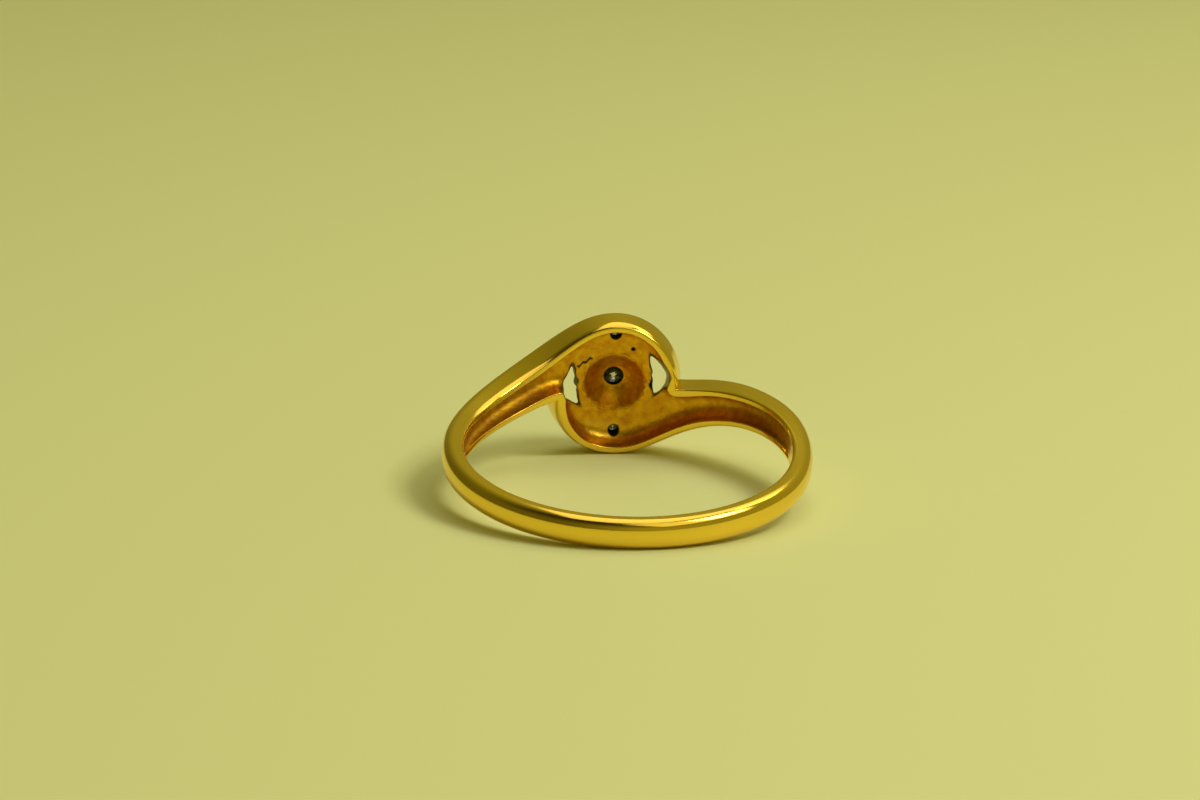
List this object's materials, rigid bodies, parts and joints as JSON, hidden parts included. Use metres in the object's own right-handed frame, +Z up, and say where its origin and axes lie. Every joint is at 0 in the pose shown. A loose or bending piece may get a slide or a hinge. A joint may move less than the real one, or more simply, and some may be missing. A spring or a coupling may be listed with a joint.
{
  "type": "bypass engagement ring",
  "caption": "Gold bypass finger ring with a hollow-backed head, whose two sweeping arms curl round a collet-set centre diamond and each hold a small accent diamond.",
  "frame": {"origin": "centre of the finger hole", "axes": "+X across the finger, +Y from the shank towards the head, +Z up from the surface that the ring lies on; the finger's axis leans from +Z towards -Y by 9.618 degrees, because the head's side and the back of the shank both rest on that surface"},
  "size_m": [0.0192, 0.021, 0.0077],
  "materials": {
    "polished_gold": "high polish yellow gold, satin as cast inside the hollow back",
    "cast_gold": "satin yellow gold, as cast inside its bowl",
    "white_gold": "bright-cut, rhodium plated",
    "diamond": "faceted and polished"
  },
  "bodies": {
    "root": {"band": "polished_gold", "centre_collet": "cast_gold", "centre_plate": "white_gold", "centre_claws": "white_gold", "centre_diamond": "diamond", "upper_diamond": "diamond", "upper_grains": "polished_gold", "lower_diamond": "diamond", "lower_grains": "polished_gold"}
  },
  "joints": []
}
